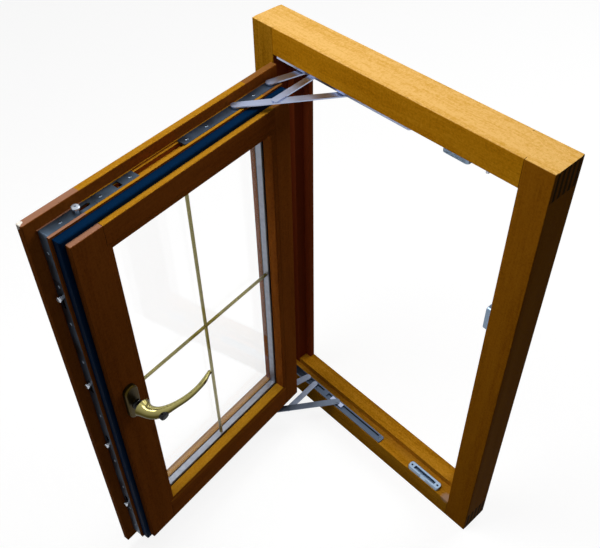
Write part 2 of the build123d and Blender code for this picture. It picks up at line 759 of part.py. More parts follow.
# Anti-lift stud on the head, beside the lock jamb
with BuildPart() as head_stud:
    stud_plane = Plane(
        origin=(lock_x - stud_distance, track_y, frame_height - face_width), x_dir=(1, 0, 0), z_dir=(0, 0, -1),
    )
    with BuildSketch(stud_plane):
        Circle(stud_radius)
    extrude(amount=stud_height)
    with BuildSketch(stud_plane.offset(stud_height / 2)):
        Circle(stud_head)
    extrude(amount=stud_height / 2)
head_stud.part.label = "head_stud"
export_step(head_stud.part, "parts/head_stud.step")

# Handle: an oblong base, a collar and a bell that bends over into the bowed lever
handle_face = sash.offset(sash_thickness)
collar_start = base_thickness + boss_height
hub_start = collar_start + collar_height
handle_spot = (handle_side, handle_height)
lock_spot = (handle_side + lock_side, handle_height)

with BuildPart() as handle_base:
    with BuildSketch(handle_face):
        with Locations(handle_spot):
            SlotOverall(base_length, base_width, rotation=90)
    extrude(amount=base_thickness)
    fillet(handle_base.faces().sort_by(Axis(sash.origin, inward))[-1].edges(), base_round)
    with BuildSketch(handle_face.offset(base_thickness)):
        with Locations(handle_spot):
            Circle(boss_radius)
    extrude(amount=boss_height)
handle_base.part.label = "handle_base"
export_step(handle_base.part, "parts/handle_base.step")

with BuildPart() as handle_collar:
    with BuildSketch(handle_face.offset(collar_start)):
        with Locations(handle_spot):
            Circle(collar_radius)
    extrude(amount=collar_height)
    fillet(handle_collar.edges().filter_by(GeomType.CIRCLE), collar_round)
handle_collar.part.label = "handle_collar"
export_step(handle_collar.part, "parts/handle_collar.step")

# Bell and lever are one loft through round sections, which lean over from the collar's axis
collar_top = place(handle_side, handle_height, sash_thickness + hub_start)
lever_plane = Plane(origin=collar_top, x_dir=along, z_dir=-up)

with BuildPart() as handle_lever:
    for across, out, lean, radius in lever_sections:
        centre = lever_plane.from_local_coords((across * lever_reach, out * lever_reach, 0))
        heading = along * math.sin(math.radians(lean)) + inward * math.cos(math.radians(lean))
        with BuildSketch(Plane(centre, x_dir=up, z_dir=heading)):
            Circle(radius * lever_reach)
    loft()
    ends = handle_lever.faces().filter_by(GeomType.PLANE).sort_by(Axis(sash.origin, along))
    fillet(ends[0].edges(), bell_round)
    fillet(ends[-1].edges(), tip_round)
    with BuildSketch(handle_face.offset(hub_start + lock_seat)):
        with Locations(lock_spot):
            Ellipse(lock_length / 2 + lock_fit, lock_width / 2 + lock_fit)
    extrude(amount=lock_height, mode=Mode.SUBTRACT)
handle_lever.part.label = "handle_lever"
export_step(handle_lever.part, "parts/handle_lever.step")

with BuildPart() as handle_lock:
    with BuildSketch(handle_face.offset(hub_start + lock_seat)):
        with Locations(lock_spot):
            Ellipse(lock_length / 2, lock_width / 2)
    extrude(amount=lock_height)
    fillet(handle_lock.faces().sort_by(Axis(sash.origin, inward))[-1].edges(), lock_round)
handle_lock.part.label = "handle_lock"
export_step(handle_lock.part, "parts/handle_lock.step")
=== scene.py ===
import math

import bpy
from mathutils import Matrix, Vector


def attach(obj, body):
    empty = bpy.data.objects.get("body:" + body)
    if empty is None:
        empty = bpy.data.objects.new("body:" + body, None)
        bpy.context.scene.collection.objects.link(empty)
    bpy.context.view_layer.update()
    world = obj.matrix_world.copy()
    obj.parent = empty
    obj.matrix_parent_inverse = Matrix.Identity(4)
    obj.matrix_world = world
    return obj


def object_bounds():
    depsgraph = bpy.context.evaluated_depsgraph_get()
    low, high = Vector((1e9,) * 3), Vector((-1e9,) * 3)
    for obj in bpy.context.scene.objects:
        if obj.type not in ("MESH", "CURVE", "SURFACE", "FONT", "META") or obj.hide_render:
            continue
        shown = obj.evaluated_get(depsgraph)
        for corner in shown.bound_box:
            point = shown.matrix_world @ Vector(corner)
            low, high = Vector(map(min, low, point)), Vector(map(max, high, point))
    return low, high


# A side-hung timber casement window with its sash standing open, shown on a pale studio floor.
# Row frame in metres: +X to the lock jamb, -Y to the outside, +Z up.
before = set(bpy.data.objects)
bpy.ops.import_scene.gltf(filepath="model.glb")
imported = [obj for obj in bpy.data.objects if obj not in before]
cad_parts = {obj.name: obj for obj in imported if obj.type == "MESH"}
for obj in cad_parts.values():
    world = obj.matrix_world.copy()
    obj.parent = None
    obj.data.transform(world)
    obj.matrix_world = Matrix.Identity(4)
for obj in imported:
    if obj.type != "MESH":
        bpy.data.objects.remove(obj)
cad_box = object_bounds()
scene = bpy.context.scene

# Camera. It stands outside the window, above the open sash, and looks down through the frame.
# Its place and lens are the ones the photograph was solved to.
CAMERA_PLACE = Vector((0.69953, -0.84555, 1.60390))
LOOK = Vector((-0.52798, 0.47763, -0.70222)).normalized()
TO_RIGHT = Vector((0.68125, 0.73191, -0.01439)).normalized()
SENSOR_MM = 36.0
LENS_MM = 48.16
to_top = TO_RIGHT.cross(LOOK)
camera_data = bpy.data.cameras.new("camera")
camera_data.sensor_fit = "HORIZONTAL"
camera_data.sensor_width = SENSOR_MM
camera_data.lens = LENS_MM
camera = bpy.data.objects.new("camera", camera_data)
scene.collection.objects.link(camera)
looking = Matrix((TO_RIGHT, to_top, -LOOK)).transposed().to_4x4()
camera.matrix_world = Matrix.Translation(CAMERA_PLACE) @ looking
scene.camera = camera
scene.view_settings.view_transform = "Standard"

# Studio. A soft lamp hangs close above the outside of the head, so its light fades down the jambs
# as in the photograph; a wide one behind lights the tops and a weak one fills the reveals.
# Floor and backdrop are white only where the camera, gloss or glass looks at them.
LIGHT_ON_THINGS = 0.05
WHITE_WHEN_SEEN = 1.0
FLOOR_SIDE = 16.0
FLOOR_GLOW = 0.88
# Of each lamp its name, place, aim and side in metres, and its power in watts.
LAMPS = (
    ("lamp_over_head", (-0.38, -0.6, 2.3), (0.0, -0.1, 0.9), 0.9, 21.0),
    ("lamp_behind", (0.2, 2.3, 2.7), (0.0, 0.0, 0.7), 2.0, 44.0),
    ("lamp_side_fill", (2.8, -0.4, 1.5), (0.0, -0.2, 0.5), 2.5, 2.2),
)


def linear(hex_colour, factors=(1.0, 1.0, 1.0)):
    """An sRGB hex colour as linear values with alpha, its red, green and blue times their factors."""
    parts = [int(hex_colour[k:k + 2], 16) / 255 for k in (1, 3, 5)]
    values = [c / 12.92 if c <= 0.04045 else ((c + 0.055) / 1.055) ** 2.4 for c in parts]
    return tuple(value * factor for value, factor in zip(values, factors)) + (1.0,)


def add_node(tree, kind, inputs=None, **settings):
    """A shader node with its settings, and with each input either a value or another node's socket."""
    node = tree.nodes.new(kind)
    for name, value in settings.items():
        setattr(node, name, value)
    for name, value in (inputs or {}).items():
        if isinstance(value, bpy.types.NodeSocket):
            tree.links.new(value, node.inputs[name])
        else:
            node.inputs[name].default_value = value
    return node


def new_finish(name):
    """An empty material and its tree."""
    material = bpy.data.materials.new(name)
    material.use_nodes = True
    material.node_tree.nodes.clear()
    return material, material.node_tree


def seen_directly(tree):
    """One where the ray comes from the camera, a reflection or glass, and zero for light on things."""
    path = add_node(tree, "ShaderNodeLightPath")
    seen = path.outputs["Is Camera Ray"]
    for ray in ("Is Glossy Ray", "Is Transmission Ray"):
        either = add_node(tree, "ShaderNodeMath", {0: seen, 1: path.outputs[ray]}, operation="MAXIMUM")
        seen = either.outputs[0]
    return seen


def deselect_all():
    """Nothing stays selected, the CAD nodes included."""
    if bpy.context.mode != "OBJECT":
        bpy.ops.object.mode_set(mode="OBJECT")
    bpy.ops.object.select_all(action="DESELECT")


world = bpy.data.worlds.new("studio")
scene.world = world
world.use_nodes = True
tree = world.node_tree
tree.nodes.clear()
strength = add_node(tree, "ShaderNodeMapRange",
                    {"Value": seen_directly(tree), "To Min": LIGHT_ON_THINGS, "To Max": WHITE_WHEN_SEEN})
backdrop = add_node(tree, "ShaderNodeBackground",
                    {"Color": linear("#FFFFFF"), "Strength": strength.outputs[0]})
add_node(tree, "ShaderNodeOutputWorld", {"Surface": backdrop.outputs[0]})

for lamp_name, spot, aim, side, power in LAMPS:
    lamp_data = bpy.data.lights.new(lamp_name, "AREA")
    lamp_data.shape = "SQUARE"
    lamp_data.size = side
    lamp_data.energy = power
    lamp = bpy.data.objects.new(lamp_name, lamp_data)
    scene.collection.objects.link(lamp)
    aimed = (Vector(aim) - Vector(spot)).to_track_quat("-Z", "Y").to_matrix().to_4x4()
    lamp.matrix_world = Matrix.Translation(spot) @ aimed

# Matt paint, rolled on, throws light back evenly in mid grey, so the window leaves a soft shadow on it;
# a glow that only the eye sees lifts it to white.
deselect_all()
bpy.ops.mesh.primitive_plane_add(size=FLOOR_SIDE, location=(0.0, 0.0, 0.0))
floor = bpy.context.object
floor.name = "floor"
floor_paint, tree = new_finish("matt white floor paint")
matt = add_node(tree, "ShaderNodeBsdfDiffuse", {"Color": linear("#808080")})
glow_strength = add_node(tree, "ShaderNodeMath", {0: seen_directly(tree), 1: FLOOR_GLOW},
                         operation="MULTIPLY")
glow = add_node(tree, "ShaderNodeEmission",
                {"Color": linear("#FFFFFF"), "Strength": glow_strength.outputs[0]})
both = add_node(tree, "ShaderNodeAddShader", {0: matt.outputs[0], 1: glow.outputs[0]})
add_node(tree, "ShaderNodeOutputMaterial", {"Surface": both.outputs[0]})
floor.data.materials.append(floor_paint)

# Fixed frame. Four members glued up from three laminations of redwood, comb-jointed at the corners
# and sprayed with honey-toned microporous stain; the head's fingers show as dark end grain on the
# jambs' sides.
# The box's high corner is the frame's own, at half its width and at its full height.
HALF_WIDTH = cad_box[1][0]
HEIGHT = cad_box[1][2]
FRAME_DEPTH = 0.068
MEMBER = 0.051
LAMINATION = FRAME_DEPTH / 3
SILL_LEVEL = MEMBER
HEAD_LEVEL = HEIGHT - MEMBER
JAMB_SIDE = HALF_WIDTH - MEMBER
# Middle and half length of the head between its glue lines, and of a jamb between its joints.
HEAD_SHOULDER = (0.0, JAMB_SIDE)
BETWEEN_JOINTS = ((HEAD_LEVEL + SILL_LEVEL) / 2, (HEAD_LEVEL - SILL_LEVEL) / 2)
# The reveal is what lies further in than this from the outside, inside and hinge-side faces.
SKIN = 0.0015
REVEAL_REACH = FRAME_DEPTH / 2 - SKIN
REVEAL_START = SKIN - HALF_WIDTH
# Place, size and blur in metres and bare tone of a patch worn off the sill beside the lock jamb.
WORN_PATCH = (Vector((0.2475, -0.0285, SILL_LEVEL)), 0.002, 0.007, "#C8A284")
RIGHT = Vector((1.0, 0.0, 0.0))
INSIDE = Vector((0.0, 1.0, 0.0))
UP = Vector((0.0, 0.0, 1.0))
# From this share on, a face or the grain counts as looking along a direction.
SQUARE_ON = 0.95


def off_middle(tree, place, direction, middle):
    """How far a point lies from a middle along a direction, in metres."""
    along = add_node(tree, "ShaderNodeVectorMath", {0: place, 1: direction}, operation="DOT_PRODUCT")
    centred = add_node(tree, "ShaderNodeMath", {0: along.outputs["Value"], 1: middle},
                       operation="SUBTRACT")
    return add_node(tree, "ShaderNodeMath", {0: centred.outputs[0]}, operation="ABSOLUTE").outputs[0]


def squareness(tree, normal, direction):
    """How squarely a face looks along a direction or against it, from zero to one."""
    towards = add_node(tree, "ShaderNodeVectorMath", {0: normal, 1: direction}, operation="DOT_PRODUCT")
    size = add_node(tree, "ShaderNodeMath", {0: towards.outputs["Value"]}, operation="ABSOLUTE")
    return size.outputs[0]


def where_both(tree, first, second, share=1.0):
    """A share where two conditions hold, and zero elsewhere."""
    both = add_node(tree, "ShaderNodeMath", {0: first, 1: second}, operation="MULTIPLY")
    shared = add_node(tree, "ShaderNodeMath", {0: both.outputs[0], 1: share}, operation="MULTIPLY")
    return shared.outputs[0]


def wood_figure(tree, place, grain, depth):
    """The tone of planed and stained redwood from dark to light, and the fibres and specks in it."""
    upright = abs(grain.dot(UP)) > SQUARE_ON
    turn = (0.0, math.pi / 2, 0.0) if upright else (0.0, 0.0, -math.atan2(grain.y, grain.x))
    lined = add_node(tree, "ShaderNodeMapping", {"Vector": place, "Rotation": turn}).outputs[0]
    # Waves per metre along the grain and twice across it. Growth rings run as long flames, and fibres
    # are really 0.1 mm wide, drawn 2.5 mm wide and 40 mm long so that they show.
    flame_waves = (1.6, 20.0, 20.0)
    fibre_waves = (25.0, 400.0, 400.0)
    noises = []
    for waves, detail, roughness in ((flame_waves, 2.0, 0.5), (fibre_waves, 3.0, 0.6)):
        stretched = add_node(tree, "ShaderNodeMapping", {"Vector": lined, "Scale": waves})
        noise = add_node(tree, "ShaderNodeTexNoise",
                         {"Vector": stretched.outputs[0], "Scale": 1.0, "Detail": detail,
                          "Roughness": roughness})
        noises.append(noise.outputs["Fac"])
    flame, fibre = noises
    # Each wave of a flame folds into several rings, about 20 mm apart.
    rings_in_wave = 6.0
    rings = add_node(tree, "ShaderNodeMath", {0: flame, 1: rings_in_wave}, operation="MULTIPLY")
    ring = add_node(tree, "ShaderNodeMath", {0: rings.outputs[0], 1: 1.0}, operation="PINGPONG")
    # Stain takes unevenly, in specks of about 4 mm.
    specks_per_metre = 260.0
    specks = add_node(tree, "ShaderNodeTexNoise",
                      {"Vector": lined, "Scale": specks_per_metre, "Detail": 2.0, "Roughness": 0.7})
    # Each lamination was a board of its own.
    depth_at = add_node(tree, "ShaderNodeVectorMath", {0: place, 1: depth}, operation="DOT_PRODUCT")
    board = add_node(tree, "ShaderNodeMath",
                     {0: depth_at.outputs["Value"], 1: LAMINATION, 2: LAMINATION / 2}, operation="SNAP")
    board_tone = add_node(tree, "ShaderNodeTexWhiteNoise", {"W": board.outputs[0]}, noise_dimensions="1D")
    # The tone starts here, and each part of the figure adds its share.
    tone = 0.04
    for part, share in ((ring.outputs[0], 0.10), (fibre, 0.32), (specks.outputs["Fac"], 0.46),
                        (board_tone.outputs["Value"], 0.06)):
        added = add_node(tree, "ShaderNodeMath", {0: part, 1: share, 2: tone}, operation="MULTIPLY_ADD")
        tone = added.outputs[0]
    return tone, fibre, specks.outputs["Fac"]


def wood_colour(tree, tone, tones):
    """The colour of each tone of the figure; tones run from light to dark."""
    light, medium, dark = tones
    dark_at, medium_at, light_at = 0.36, 0.50, 0.64
    ramp = add_node(tree, "ShaderNodeValToRGB", {"Fac": tone})
    ramp.color_ramp.elements[0].position = dark_at
    ramp.color_ramp.elements[0].color = linear(dark)
    ramp.color_ramp.elements[1].position = light_at
    ramp.color_ramp.elements[1].color = linear(light)
    ramp.color_ramp.elements.new(medium_at).color = linear(medium)
    return ramp.outputs["Color"]


def with_painted_reveal_shade(tree, colour, place, tone, reveal):
    """Painted shade: the reveal between the outside and inside faces is painted a deep red for the sash's
    shadow.
    """
    darker, lighter = (0.7,) * 3, (1.3,) * 3
    parts = add_node(tree, "ShaderNodeSeparateXYZ", {"Vector": place})
    between = add_node(tree, "ShaderNodeMath", {0: parts.outputs["Y"], 1: 0.0, 2: REVEAL_REACH},
                       operation="COMPARE")
    within = add_node(tree, "ShaderNodeMath", {0: parts.outputs["X"], 1: REVEAL_START},
                      operation="GREATER_THAN")
    deep = add_node(tree, "ShaderNodeMix",
                    {"Factor": tone, "A": linear(reveal, darker), "B": linear(reveal, lighter)},
                    data_type="RGBA")
    in_reveal = where_both(tree, between.outputs[0], within.outputs[0])
    return add_node(tree, "ShaderNodeMix",
                    {"Factor": in_reveal, "A": colour, "B": deep.outputs["Result"]},
                    data_type="RGBA").outputs["Result"]


def with_ends(tree, colour, normal, grain, end):
    """Where the grain is cut across, it takes the stain in another tone."""
    end_from, end_full, end_share = 0.6, 0.9, 0.95
    cut_across = add_node(tree, "ShaderNodeMapRange",
                          {"Value": squareness(tree, normal, grain), "From Min": end_from,
                           "From Max": end_full, "To Max": end_share})
    return add_node(tree, "ShaderNodeMix",
                    {"Factor": cut_across.outputs[0], "A": colour, "B": linear(end)},
                    data_type="RGBA").outputs["Result"]


def with_glue_lines(tree, colour, place, normal, grain, depth, shoulder, dark):
    """The glue lines of the joints are really hair-thin, and drawn 2.8 mm wide so that they show."""
    middle, half_length = shoulder
    half_width, glue_share = 0.0014, 0.6
    line = add_node(tree, "ShaderNodeMath",
                    {0: off_middle(tree, place, grain, middle), 1: half_length, 2: half_width},
                    operation="COMPARE")
    flat_on = add_node(tree, "ShaderNodeMath", {0: squareness(tree, normal, depth), 1: SQUARE_ON},
                       operation="GREATER_THAN")
    glued = where_both(tree, line.outputs[0], flat_on.outputs[0], glue_share)
    return add_node(tree, "ShaderNodeMix", {"Factor": glued, "A": colour, "B": linear(dark)},
                    data_type="RGBA").outputs["Result"]


def with_painted_light_and_shade(tree, colour, normal, tone, direction, painted_tone):
    """Painted light and shade: what looks up is painted pale as lit, and a side deep as shaded."""
    face_from, face_full, face_share = 0.3, 0.8, 0.9
    mottle_from, mottle_full = 0.40, 0.60
    deeper, paler = (0.86, 0.78, 0.45), (1.10, 1.14, 1.35)
    towards = add_node(tree, "ShaderNodeVectorMath", {0: normal, 1: direction}, operation="DOT_PRODUCT")
    turned = add_node(tree, "ShaderNodeMapRange",
                      {"Value": towards.outputs["Value"], "From Min": face_from,
                       "From Max": face_full, "To Max": face_share})
    mottle = add_node(tree, "ShaderNodeMapRange",
                      {"Value": tone, "From Min": mottle_from, "From Max": mottle_full})
    mottled = add_node(tree, "ShaderNodeMix",
                       {"Factor": mottle.outputs[0], "A": linear(painted_tone, deeper),
                        "B": linear(painted_tone, paler)}, data_type="RGBA")
    return add_node(tree, "ShaderNodeMix",
                    {"Factor": turned.outputs[0], "A": colour, "B": mottled.outputs["Result"]},
                    data_type="RGBA").outputs["Result"]


def with_soaked_joints(tree, colour, place, normal, grain, soaked):
    """Where the fingers of a joint end, the cut fibres have drunk in the stain and gone dark."""
    middle, half_length = soaked
    soak_share = 0.3
    at_joint = add_node(tree, "ShaderNodeMath",
                        {0: off_middle(tree, place, grain, middle), 1: half_length},
                        operation="GREATER_THAN")
    side_on = add_node(tree, "ShaderNodeMath", {0: squareness(tree, normal, RIGHT), 1: SQUARE_ON},
                       operation="GREATER_THAN")
    soak = where_both(tree, at_joint.outputs[0], side_on.outputs[0], soak_share)
    return add_node(tree, "ShaderNodeMix", {"Factor": soak, "A": colour, "B": linear("#0C0702")},
                    data_type="RGBA").outputs["Result"]


def with_bare_spot(tree, colour, place, speck, chip):
    """The stain is broken or rubbed down to the pale wood, with an edge that the specks make ragged."""
    spot, size, blur, bare_tone = chip
    raggedness = -0.008
    away = add_node(tree, "ShaderNodeVectorMath", {0: place, 1: spot}, operation="DISTANCE")
    ragged = add_node(tree, "ShaderNodeMath", {0: speck, 1: raggedness, 2: away.outputs["Value"]},
                      operation="MULTIPLY_ADD")
    bare = add_node(tree, "ShaderNodeMapRange",
                    {"Value": ragged.outputs[0], "From Min": size, "From Max": size + blur,
                     "To Min": 1.0, "To Max": 0.0})
    return add_node(tree, "ShaderNodeMix",
                    {"Factor": bare.outputs[0], "A": colour, "B": linear(bare_tone)},
                    data_type="RGBA").outputs["Result"]


def timber(name, grain, depth, tones, end, shoulder=None, faces=(), reveal=None, soaked=None, chip=None):
    """A stained softwood. grain and depth are directions, tones run from light to dark and end is the
    tone of cut ends. shoulder is the middle and half length between the glue lines of the joints, faces
    are directions with the tone painted on what looks there, as light on tops and as shade on sides,
    reveal is the deep tone painted as shade between the outside and inside faces, soaked is the middle
    and half length of what lies between the joints, and chip is the place, size, blur and tone of a spot
    where the stain is off."""
    material, tree = new_finish(name)
    where = add_node(tree, "ShaderNodeTexCoord")
    place = where.outputs["Object"]
    normal = where.outputs["Normal"]
    tone, fibre, speck = wood_figure(tree, place, grain, depth)
    colour = wood_colour(tree, tone, tones)
    # Painted shade in the reveal.
    if reveal:
        colour = with_painted_reveal_shade(tree, colour, place, tone, reveal)
    colour = with_ends(tree, colour, normal, grain, end)
    if shoulder:
        colour = with_glue_lines(tree, colour, place, normal, grain, depth, shoulder, tones[-1])
    # Painted light and shade on what looks along each of these directions.
    for direction, painted_tone in faces:
        colour = with_painted_light_and_shade(tree, colour, normal, tone, direction, painted_tone)
    if soaked:
        colour = with_soaked_joints(tree, colour, place, normal, grain, soaked)
    if chip:
        colour = with_bare_spot(tree, colour, place, speck, chip)
    # The coat is thin: the fibres stand out a little, and its sheen is all but gone.
    smoothest, roughest = 0.36, 0.56
    relief_share, relief_height = 0.2, 0.0004
    coat_index, coat_shine = 1.45, 0.001
    satin = add_node(tree, "ShaderNodeMapRange",
                     {"Value": fibre, "To Min": smoothest, "To Max": roughest})
    relief = add_node(tree, "ShaderNodeBump",
                      {"Strength": relief_share, "Distance": relief_height, "Height": fibre})
    shader = add_node(tree, "ShaderNodeBsdfPrincipled",
                      {"Base Color": colour, "Roughness": satin.outputs[0], "Normal": relief.outputs[0],
                       "IOR": coat_index, "Specular IOR Level": coat_shine})
    add_node(tree, "ShaderNodeOutputMaterial", {"Surface": shader.outputs[0]})
    return material


def finish(material, *nodes):
    """Gives CAD nodes their finish in every material slot."""
    for node in nodes:
        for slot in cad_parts[node].material_slots:
            slot.material = material


# Stain sprayed thin on planed redwood keeps a warm, even colour with fine specks. It has hardly any
# shine left, so dark sides stay deep at a glancing look. Faces that look up are painted pale honey
# as light.
PAINTED_TOP_LIGHT = "#E8B764"
# Cut ends of the jambs take nearly the pale painted light of the tops, so their fingers don't show on the
# top.
END_IN_PAINTED_TOP_LIGHT = "#E2AC52"
OPEN_END = "#060301"
finish(timber("satin honey stained redwood, grain across", RIGHT, INSIDE,
              ("#DE9A1E", "#D08A10", "#B67206"), OPEN_END, HEAD_SHOULDER, [(UP, PAINTED_TOP_LIGHT)]), "frame_head")
# The sill lies lower and in the sash's shade, a little browner and rubbed pale in one corner.
finish(timber("satin honey stained redwood, grain across and in shade", RIGHT, INSIDE,
              ("#D0922A", "#BE8018", "#9E6408"), OPEN_END, HEAD_SHOULDER, chip=WORN_PATCH), "frame_sill")
# The hinge jamb is pale outside, and its reveal is painted a deep red as shade.
finish(timber("satin honey stained redwood, pale and upright", UP, INSIDE,
              ("#CB9024", "#BC8016", "#A06A0C"), END_IN_PAINTED_TOP_LIGHT, faces=[(UP, PAINTED_TOP_LIGHT)], reveal="#8A3E1C",
              soaked=BETWEEN_JOINTS), "frame_hinge_jamb")
# The lock jamb is painted a deeper brown as shade, and deepest as painted shade on its outer side.
finish(timber("satin honey stained redwood, grain upright", UP, INSIDE,
              ("#AC6C14", "#A3640E", "#8E5409"), END_IN_PAINTED_TOP_LIGHT, faces=[(UP, PAINTED_TOP_LIGHT), (RIGHT, "#784A0E")],
              soaked=BETWEEN_JOINTS), "frame_lock_jamb")

# Sash. Stiles run the full height and rails stand between them, in the same laminated redwood and
# stain, painted a deeper red-brown as shade; the beads that hold the glass are mitred lengths of the
# same timber.
OPEN_ANGLE = 81.7
TURN = math.radians(90.0 - OPEN_ANGLE)
ALONG = Vector((-math.sin(TURN), math.cos(TURN), 0.0))
INWARD = Vector((math.cos(TURN), math.sin(TURN), 0.0))
CLOSING_EDGE = Vector((-0.15602, -0.58078, 0.044))


def sash_point(side, height, depth):
    """A point of the sash, in millimetres from its closing edge, its bottom and its outside face."""
    return CLOSING_EDGE + ALONG * (side / 1000) + UP * (height / 1000) + INWARD * (depth / 1000)


# Place, size and blur in metres and bare tone of a knock on the upper corner of the closing stile.
KNOCKED_CORNER = (sash_point(2.0, 862.0, 2.0), 0.0026, 0.0006, "#F2EBE0")
# The deeper tone, painted as shade, hides most of the figure, so the faces read as one warm brown
# with faint flames.
SASH_TONES_IN_PAINTED_SHADE = ("#96541E", "#8C4C18", "#783E12")
# Along the rails, what looks up is painted a golden brown as lit.
finish(timber("satin teak stained redwood, grain along the rail", ALONG, INWARD, SASH_TONES_IN_PAINTED_SHADE, "#4A2A0C",
              faces=[(UP, "#B07C1C")]),
       "sash_top_rail", "sash_bottom_rail", "top_glazing_bead", "bottom_glazing_bead")
# The closing stile shows a paler, pinkish end, and bare wood where its corner was knocked.
finish(timber("satin stained redwood in painted shade, grain upright", UP, INWARD, SASH_TONES_IN_PAINTED_SHADE, "#9C7058",
              chip=KNOCKED_CORNER),
       "sash_closing_stile", "closing_glazing_bead")
# The hinge stile's end is a plain brown.
finish(timber("satin teak stained redwood, grain upright on the hinge side", UP, INWARD, SASH_TONES_IN_PAINTED_SHADE,
              "#8C5C2C"),
       "sash_hinge_stile", "hinge_glazing_bead")


# Weather seal. A soft hollow strip of TPE with a smooth blue-black skin, pressed into a kerf in the
# step of the sash and welded at its corners.
def plain(name, colour, roughness, metallic=0.0, bump=0.1, under=None, gloss=None):
    """A finish whose colour and roughness vary a little, with a fine grain in its surface; under is the
    colour painted as shade on what looks down, and gloss the index and level of a coat's shine."""
    # Waves per metre: the grain is 3 mm wide and wear shows in patches of about 33 mm.
    grain_waves, wear_waves = 1000.0 / 3.0, 30.0
    grain_height = 0.0002
    worn_from, worn_full = 0.3, 0.7
    smoother, rougher = 0.07, 0.09
    darker, lighter = (0.82,) * 3, (1.15,) * 3
    material, tree = new_finish(name)
    where = add_node(tree, "ShaderNodeTexCoord")
    fine = add_node(tree, "ShaderNodeTexNoise",
                    {"Vector": where.outputs["Object"], "Scale": grain_waves, "Detail": 2.0})
    worn = add_node(tree, "ShaderNodeTexNoise",
                    {"Vector": where.outputs["Object"], "Scale": wear_waves, "Detail": 2.0})
    spread = add_node(tree, "ShaderNodeMapRange",
                      {"Value": worn.outputs["Fac"], "From Min": worn_from, "From Max": worn_full,
                       "To Min": roughness - smoother, "To Max": roughness + rougher})
    shade = add_node(tree, "ShaderNodeMix",
                     {"Factor": worn.outputs["Fac"], "A": linear(colour, darker),
                      "B": linear(colour, lighter)}, data_type="RGBA").outputs["Result"]
    # Painted shade: what looks down takes the under colour, and what looks up keeps the lit colour.
    if under:
        upper_from, upper_full = 0.3, 1.0
        looks = add_node(tree, "ShaderNodeSeparateXYZ", {"Vector": where.outputs["Normal"]})
        upper = add_node(tree, "ShaderNodeMapRange",
                         {"Value": looks.outputs["Z"], "From Min": upper_from, "From Max": upper_full})
        shade = add_node(tree, "ShaderNodeMix",
                         {"Factor": upper.outputs[0], "A": linear(under), "B": shade},
                         data_type="RGBA").outputs["Result"]
    relief = add_node(tree, "ShaderNodeBump",
                      {"Strength": bump, "Distance": grain_height, "Height": fine.outputs["Fac"]})
    shader = add_node(tree, "ShaderNodeBsdfPrincipled",
                      {"Base Color": shade, "Roughness": spread.outputs[0], "Metallic": metallic,
                       "Normal": relief.outputs[0]})
    if gloss:
        shader.inputs["IOR"].default_value, shader.inputs["Specular IOR Level"].default_value = gloss
    add_node(tree, "ShaderNodeOutputMaterial", {"Surface": shader.outputs[0]})
    return material


# An extruded skin that dust has made nearly matt: blue-black, and bluer where the light falls on it.
finish(plain("extruded blue-black TPE seal", "#03213F", roughness=0.38, gloss=(1.45, 0.01)), "sash_seal")

# Sealed unit. Two panes of clear float glass with a folded aluminium spacer between them, stuck to the
# glass with black butyl, and bars of gold anodised aluminium that cross in the space.
GLASS_INDEX = 1.18
UNIT_MIDDLE_MM = 32.0
METAL_HALF_WIDTH = 0.006
ROLLED_WAVES = 90.0
ROLLED_SMOOTH, ROLLED_ROUGH = 0.38, 0.55
# Float glass is flat and colourless. Its index is set below the real 1.52, so that the white backdrop's
# reflection stays as faint as in the photograph, and it lets lamplight pass with no dark shadow.
clear, tree = new_finish("clear float glass")
float_glass = add_node(tree, "ShaderNodeBsdfPrincipled",
                       {"Base Color": linear("#FFFFFF"), "Roughness": 0.0, "IOR": GLASS_INDEX,
                        "Transmission Weight": 1.0})
open_path = add_node(tree, "ShaderNodeBsdfTransparent", {"Color": linear("#FBFDFC")})
lamp_path = add_node(tree, "ShaderNodeLightPath")
pass_light = add_node(tree, "ShaderNodeMixShader",
                      {0: lamp_path.outputs["Is Shadow Ray"], 1: float_glass.outputs[0],
                       2: open_path.outputs[0]})
add_node(tree, "ShaderNodeOutputMaterial", {"Surface": pass_light.outputs[0]})
finish(clear, "outer_pane", "inner_pane")

# Rolled aluminium looks pale and a little dull; the butyl is a dark line 2 mm wide along each pane.
spacer_metal, tree = new_finish("rolled aluminium spacer with butyl edges")
place = add_node(tree, "ShaderNodeTexCoord").outputs["Object"]
unit_middle = sash_point(0.0, 0.0, UNIT_MIDDLE_MM).dot(INWARD)
butyl = add_node(tree, "ShaderNodeMath",
                 {0: off_middle(tree, place, INWARD, unit_middle), 1: METAL_HALF_WIDTH},
                 operation="GREATER_THAN")
rolled = add_node(tree, "ShaderNodeTexNoise", {"Vector": place, "Scale": ROLLED_WAVES, "Detail": 2.0})
rolled_tone = add_node(tree, "ShaderNodeMix",
                       {"Factor": rolled.outputs["Fac"], "A": linear("#7C828E"), "B": linear("#A9AEBA")},
                       data_type="RGBA")
edged = add_node(tree, "ShaderNodeMix",
                 {"Factor": butyl.outputs[0], "A": rolled_tone.outputs["Result"],
                  "B": linear("#15161A")}, data_type="RGBA")
metal_share = add_node(tree, "ShaderNodeMath", {0: 1.0, 1: butyl.outputs[0]}, operation="SUBTRACT")
dull = add_node(tree, "ShaderNodeMapRange",
                {"Value": rolled.outputs["Fac"], "To Min": ROLLED_SMOOTH, "To Max": ROLLED_ROUGH})
spacer_shader = add_node(tree, "ShaderNodeBsdfPrincipled",
                         {"Base Color": edged.outputs["Result"], "Metallic": metal_share.outputs[0],
                          "Roughness": dull.outputs[0]})
add_node(tree, "ShaderNodeOutputMaterial", {"Surface": spacer_shader.outputs[0]})
finish(spacer_metal, "pane_spacer")

# Anodising keeps the bars satin, in an olive gold that turns pale only on their round edges.
finish(plain("gold anodised aluminium", "#787038", roughness=0.34, metallic=1.0),
       "vertical_glazing_bar", "horizontal_glazing_bar")

